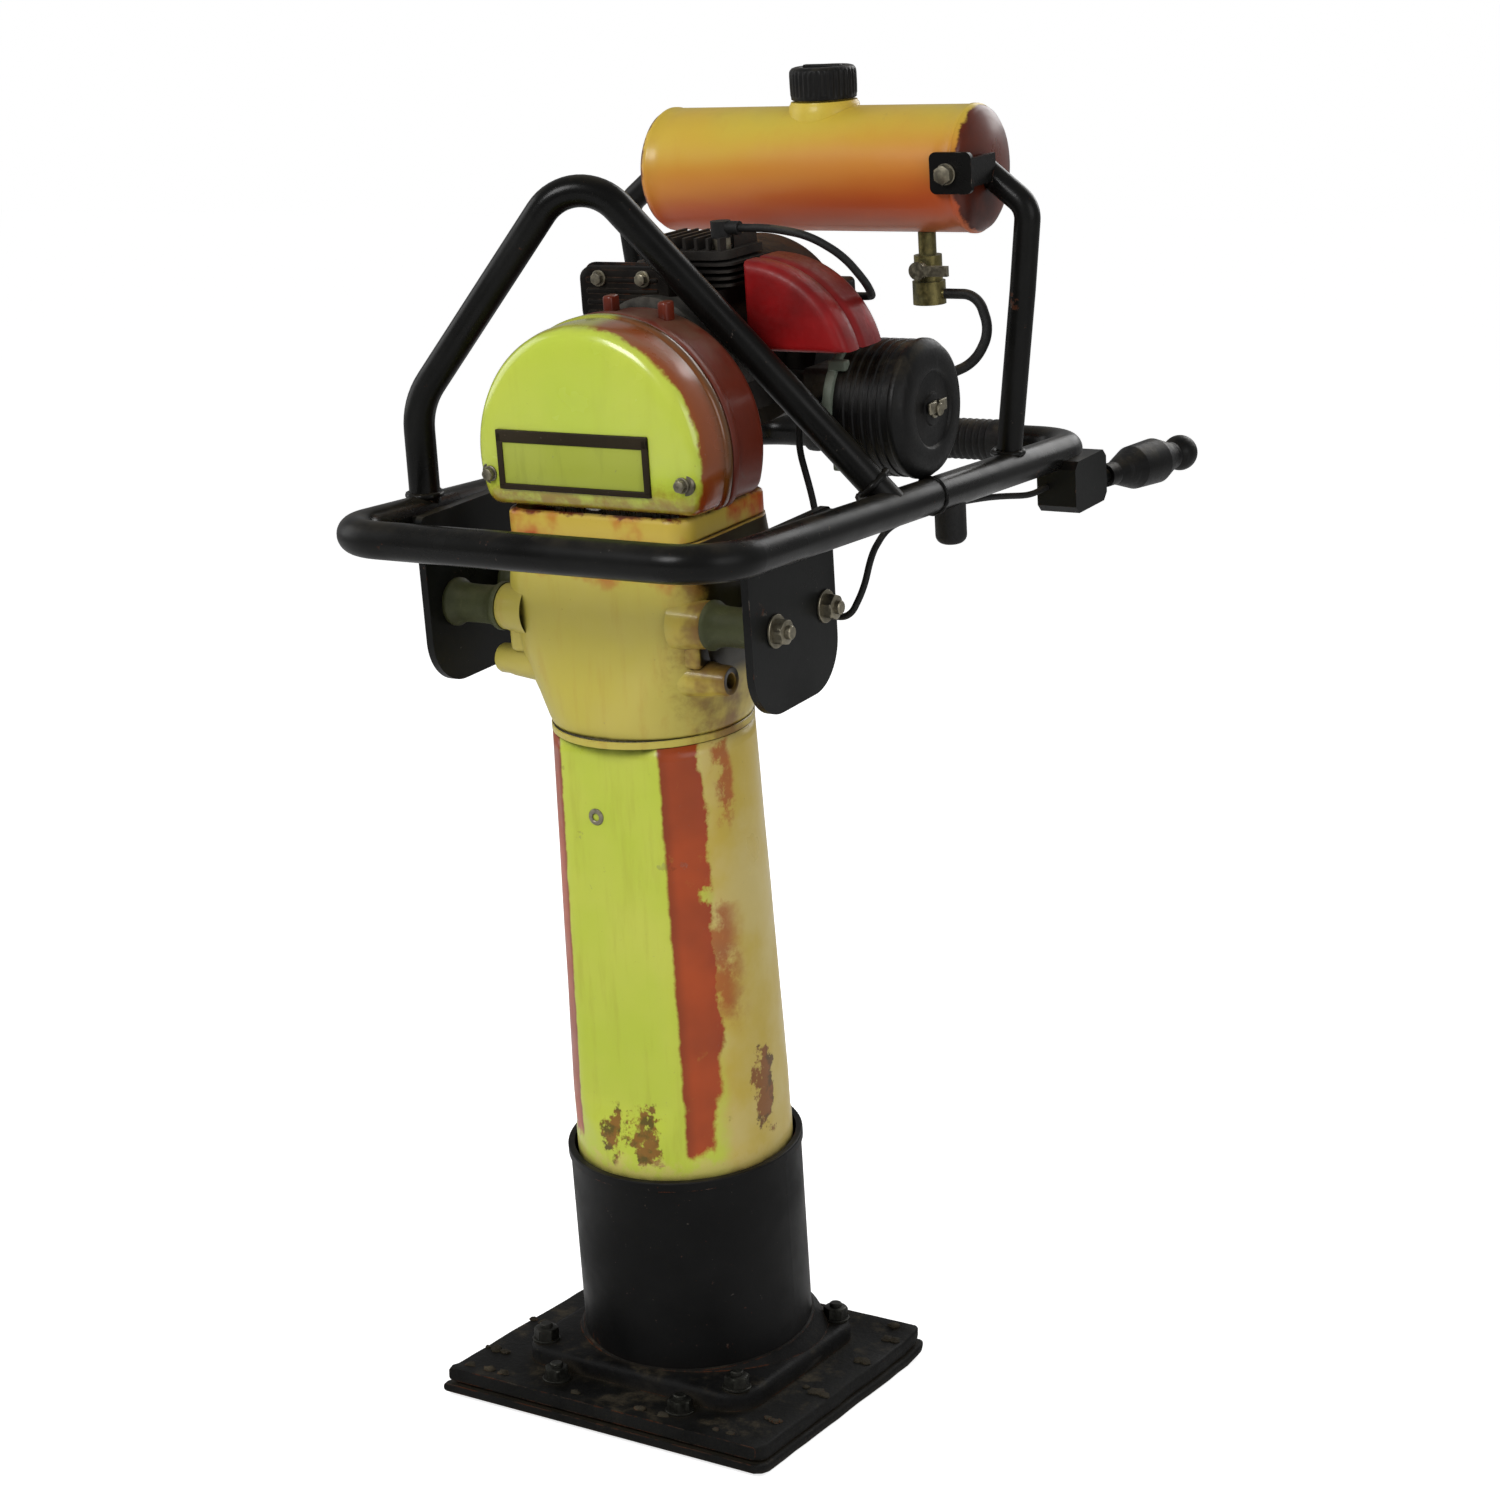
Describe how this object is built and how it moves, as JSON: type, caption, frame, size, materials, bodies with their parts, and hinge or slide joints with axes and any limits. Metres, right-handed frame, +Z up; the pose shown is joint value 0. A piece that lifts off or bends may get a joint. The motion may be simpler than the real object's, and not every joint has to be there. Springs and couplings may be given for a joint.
{
  "type": "tamping rammer",
  "caption": "Upright petrol tamping rammer: flat shoe, black sleeve, yellow percussion leg, round crank housing, ring handle with hoop, small engine and drum fuel tank.",
  "frame": {"origin": "centre of the shoe's flat sole, on the ground", "axes": "+Z up, -Y forward (the way the leg leans and the crank cover faces), +X towards the air cleaner and the fuel cock"},
  "size_m": [0.4012, 0.7194, 1.0147],
  "materials": {
    "yellow_paint": "worn gloss paint",
    "tank_paint": "faded gloss paint",
    "black_casting": "dirty matt black",
    "worn_steel": "machined, oiled",
    "black_paint": "worn satin paint",
    "engine_alloy": "cast, sooty",
    "zinc": "dull zinc",
    "brass": "tarnished",
    "black_rubber": "matt",
    "black_plastic": "satin",
    "red_plastic": "faded gloss",
    "plate_metal": "worn raised border"
  },
  "bodies": {
    "foot": {"shoe_sole": "worn_steel", "shoe_deck": "black_casting", "foot_boss": "black_casting", "foot_bolts": "zinc", "foot_sleeve": "black_casting", "spring_cylinder": "worn_steel", "cylinder_head": "worn_steel", "lower_spring": "worn_steel", "upper_spring": "worn_steel"},
    "machine": {"leg_casting": "yellow_paint", "leg_plug": "zinc", "guide_cylinder": "worn_steel", "guide_bushes": "brass", "neck_casting": "yellow_paint", "crankcase": "yellow_paint", "crank_cover": "yellow_paint", "name_plate": "plate_metal", "cover_bolts": "zinc", "crank_bearings": "worn_steel", "clutch_housing": "engine_alloy", "engine_block": "engine_alloy", "engine_barrel": "engine_alloy", "cylinder_top": "engine_alloy", "spark_plug": "zinc", "plug_cap": "black_rubber", "plug_lead": "black_rubber", "muffler": "black_paint", "cowl": "red_plastic", "fan_housing": "engine_alloy", "ignition_coil": "black_plastic", "carburettor": "engine_alloy", "air_cleaner": "black_plastic", "cleaner_base": "zinc", "handle_front_tube": "black_paint", "handle_rear_tube": "black_paint", "grip_sleeve": "black_rubber", "guard_hoop": "black_paint", "tank_stands": "black_paint", "side_plates": "black_paint", "rubber_mounts": "black_rubber", "frame_bolts": "zinc", "arm_pad": "black_rubber", "throttle_block": "black_paint", "throttle_cable": "black_rubber", "fuel_tank": "tank_paint", "fuel_cock": "brass", "fuel_hose": "black_rubber"},
    "crank": {"crank_gear": "worn_steel"},
    "drum": {"clutch_drum": "worn_steel"},
    "engine_rotor": {"engine_shaft": "worn_steel", "flywheel": "worn_steel", "clutch_shoes": "worn_steel"},
    "plunger": {"plunger": "worn_steel", "wrist_pin": "worn_steel"},
    "rod": {"con_rod": "worn_steel"},
    "throttle": {"throttle_arm": "black_paint", "throttle_grip": "black_rubber"},
    "cock_lever": {"cock_lever": "zinc"},
    "cap": {"fuel_cap": "black_plastic"},
    "starter": {"starter_grip": "black_plastic"}
  },
  "joints": [
    {"name": "leg_slide", "type": "slide", "parent": "foot", "child": "machine", "axis": [0, -0.1219, 0.9925], "range_m": [-0.045, 0.035], "stiffness_N_per_m": 40000, "springref_m": 0.0125, "deforming": ["lower_spring", "upper_spring"]},
    {"name": "plunger_stroke", "type": "slide", "parent": "machine", "child": "plunger", "axis": [0, -0.1219, 0.9925], "range_m": [0, 0.052]},
    {"name": "rod_swing", "type": "hinge", "parent": "plunger", "child": "rod", "pos_m": [0, -0.05252, 0.58787], "axis": [0, 0.9925, 0.1219], "range_deg": [-14, 14]},
    {"name": "crank_turn", "type": "hinge", "parent": "machine", "child": "crank", "pos_m": [0, -0.09887, 0.7192], "axis": [0, 0.9925, 0.1219], "continuous": true},
    {"name": "drum_turn", "type": "hinge", "parent": "machine", "child": "drum", "pos_m": [0, -0.07762, 0.79234], "axis": [0, 0.9925, 0.1219], "continuous": true},
    {"name": "engine_turn", "type": "hinge", "parent": "machine", "child": "engine_rotor", "pos_m": [0, 0.04149, 0.80696], "axis": [0, 0.9925, 0.1219], "continuous": true},
    {"name": "throttle_lever", "type": "hinge", "parent": "machine", "child": "throttle", "pos_m": [0.17, 0.34275, 0.68376], "axis": [1, 0, 0], "range_deg": [-15, 20]},
    {"name": "fuel_cock_turn", "type": "hinge", "parent": "machine", "child": "cock_lever", "pos_m": [0.09, 0.19664, 0.85623], "axis": [0, 0.9925, 0.1219], "range_deg": [0, 90]},
    {"name": "cap_turn", "type": "hinge", "parent": "machine", "child": "cap", "pos_m": [0.005, 0.19496, 0.99708], "axis": [0, -0.1219, 0.9925], "range_deg": [0, 90]},
    {"name": "starter_pull", "type": "slide", "parent": "machine", "child": "starter", "axis": [-1, 0, 0], "range_m": [0, 0.035], "stiffness_N_per_m": 80, "springref_m": -0.05}
  ],
  "couplings": [
    {"joint": "drum_turn", "follows": "crank_turn", "ratio": -3.6667}
  ]
}
